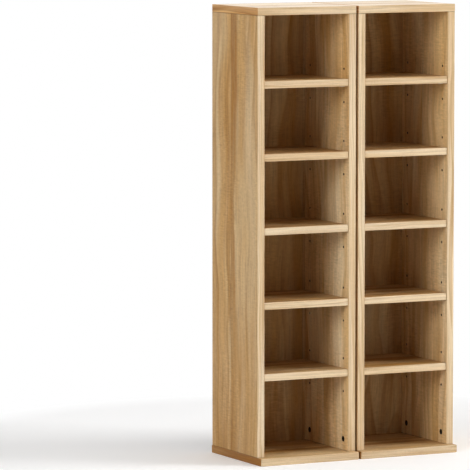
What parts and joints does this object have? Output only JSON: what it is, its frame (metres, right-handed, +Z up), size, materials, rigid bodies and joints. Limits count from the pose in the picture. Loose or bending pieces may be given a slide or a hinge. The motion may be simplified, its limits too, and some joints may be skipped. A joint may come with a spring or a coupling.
{
  "type": "disc storage tower",
  "caption": "Free-standing open towers for disc cases, in oak-decor board, with loose shelves on plug-in supports, thin backs and base plates that stand out at the front.",
  "frame": {"origin": "on the floor, at the middle of the footprint of both towers", "axes": "+X to the right seen from the front, +Y to the back, +Z up"},
  "size_m": [0.471, 0.231, 0.956],
  "materials": {
    "oak_board": "pale oak-decor melamine on chipboard, satin",
    "oak_edging": "pale oak-decor edging strip, satin",
    "back_board": "oak-decor foil on hardboard, raw brown behind",
    "zinc": "die-cast zinc with a dark bronze finish",
    "steel": "bright zinc-plated steel",
    "beech": "plain beech"
  },
  "bodies": {
    "towers": {"left_tower_base_panel": "oak_board", "left_tower_base_edging": "oak_edging", "left_tower_left_side": "oak_board", "left_tower_left_side_edging": "oak_edging", "left_tower_right_side": "oak_board", "left_tower_right_side_edging": "oak_edging", "left_tower_top_panel": "oak_board", "left_tower_top_edging": "oak_edging", "left_tower_back_panel": "back_board", "left_tower_cam_bolts": "steel", "left_tower_dowels": "beech", "left_tower_shelf_supports": "steel", "right_tower_base_panel": "oak_board", "right_tower_base_edging": "oak_edging", "right_tower_left_side": "oak_board", "right_tower_left_side_edging": "oak_edging", "right_tower_right_side": "oak_board", "right_tower_right_side_edging": "oak_edging", "right_tower_top_panel": "oak_board", "right_tower_top_edging": "oak_edging", "right_tower_back_panel": "back_board", "right_tower_cam_bolts": "steel", "right_tower_dowels": "beech", "right_tower_shelf_supports": "steel"},
    "left_tower_left_front_cam": {"left_tower_left_front_cam": "zinc"},
    "left_tower_left_rear_cam": {"left_tower_left_rear_cam": "zinc"},
    "left_tower_right_front_cam": {"left_tower_right_front_cam": "zinc"},
    "left_tower_right_rear_cam": {"left_tower_right_rear_cam": "zinc"},
    "left_shelf_1": {"left_tower_shelf_1": "oak_board", "left_tower_shelf_1_edging": "oak_edging"},
    "left_shelf_2": {"left_tower_shelf_2": "oak_board", "left_tower_shelf_2_edging": "oak_edging"},
    "left_shelf_3": {"left_tower_shelf_3": "oak_board", "left_tower_shelf_3_edging": "oak_edging"},
    "left_shelf_4": {"left_tower_shelf_4": "oak_board", "left_tower_shelf_4_edging": "oak_edging"},
    "left_shelf_5": {"left_tower_shelf_5": "oak_board", "left_tower_shelf_5_edging": "oak_edging"},
    "right_tower_left_front_cam": {"right_tower_left_front_cam": "zinc"},
    "right_tower_left_rear_cam": {"right_tower_left_rear_cam": "zinc"},
    "right_tower_right_front_cam": {"right_tower_right_front_cam": "zinc"},
    "right_tower_right_rear_cam": {"right_tower_right_rear_cam": "zinc"},
    "right_shelf_1": {"right_tower_shelf_1": "oak_board", "right_tower_shelf_1_edging": "oak_edging"},
    "right_shelf_2": {"right_tower_shelf_2": "oak_board", "right_tower_shelf_2_edging": "oak_edging"},
    "right_shelf_3": {"right_tower_shelf_3": "oak_board", "right_tower_shelf_3_edging": "oak_edging"},
    "right_shelf_4": {"right_tower_shelf_4": "oak_board", "right_tower_shelf_4_edging": "oak_edging"},
    "right_shelf_5": {"right_tower_shelf_5": "oak_board", "right_tower_shelf_5_edging": "oak_edging"}
  },
  "joints": [
    {"name": "left_tower_left_front_cam_turn", "type": "hinge", "parent": "towers", "child": "left_tower_left_front_cam", "pos_m": [-0.226, -0.0735, 0.04], "axis": [1, 0, 0], "range_deg": [0, 180]},
    {"name": "left_tower_left_rear_cam_turn", "type": "hinge", "parent": "towers", "child": "left_tower_left_rear_cam", "pos_m": [-0.226, 0.0795, 0.04], "axis": [1, 0, 0], "range_deg": [0, 180]},
    {"name": "left_tower_right_front_cam_turn", "type": "hinge", "parent": "towers", "child": "left_tower_right_front_cam", "pos_m": [-0.011, -0.0735, 0.04], "axis": [1, 0, 0], "range_deg": [0, 180]},
    {"name": "left_tower_right_rear_cam_turn", "type": "hinge", "parent": "towers", "child": "left_tower_right_rear_cam", "pos_m": [-0.011, 0.0795, 0.04], "axis": [1, 0, 0], "range_deg": [0, 180]},
    {"name": "left_shelf_1_slide", "type": "slide", "parent": "towers", "child": "left_shelf_1", "axis": [0, -1, 0], "range_m": [0, 0.22]},
    {"name": "left_shelf_2_slide", "type": "slide", "parent": "towers", "child": "left_shelf_2", "axis": [0, -1, 0], "range_m": [0, 0.22]},
    {"name": "left_shelf_3_slide", "type": "slide", "parent": "towers", "child": "left_shelf_3", "axis": [0, -1, 0], "range_m": [0, 0.22]},
    {"name": "left_shelf_4_slide", "type": "slide", "parent": "towers", "child": "left_shelf_4", "axis": [0, -1, 0], "range_m": [0, 0.22]},
    {"name": "left_shelf_5_slide", "type": "slide", "parent": "towers", "child": "left_shelf_5", "axis": [0, -1, 0], "range_m": [0, 0.22]},
    {"name": "right_tower_left_front_cam_turn", "type": "hinge", "parent": "towers", "child": "right_tower_left_front_cam", "pos_m": [0.011, -0.0735, 0.04], "axis": [1, 0, 0], "range_deg": [0, 180]},
    {"name": "right_tower_left_rear_cam_turn", "type": "hinge", "parent": "towers", "child": "right_tower_left_rear_cam", "pos_m": [0.011, 0.0795, 0.04], "axis": [1, 0, 0], "range_deg": [0, 180]},
    {"name": "right_tower_right_front_cam_turn", "type": "hinge", "parent": "towers", "child": "right_tower_right_front_cam", "pos_m": [0.226, -0.0735, 0.04], "axis": [1, 0, 0], "range_deg": [0, 180]},
    {"name": "right_tower_right_rear_cam_turn", "type": "hinge", "parent": "towers", "child": "right_tower_right_rear_cam", "pos_m": [0.226, 0.0795, 0.04], "axis": [1, 0, 0], "range_deg": [0, 180]},
    {"name": "right_shelf_1_slide", "type": "slide", "parent": "towers", "child": "right_shelf_1", "axis": [0, -1, 0], "range_m": [0, 0.22]},
    {"name": "right_shelf_2_slide", "type": "slide", "parent": "towers", "child": "right_shelf_2", "axis": [0, -1, 0], "range_m": [0, 0.22]},
    {"name": "right_shelf_3_slide", "type": "slide", "parent": "towers", "child": "right_shelf_3", "axis": [0, -1, 0], "range_m": [0, 0.22]},
    {"name": "right_shelf_4_slide", "type": "slide", "parent": "towers", "child": "right_shelf_4", "axis": [0, -1, 0], "range_m": [0, 0.22]},
    {"name": "right_shelf_5_slide", "type": "slide", "parent": "towers", "child": "right_shelf_5", "axis": [0, -1, 0], "range_m": [0, 0.22]}
  ]
}
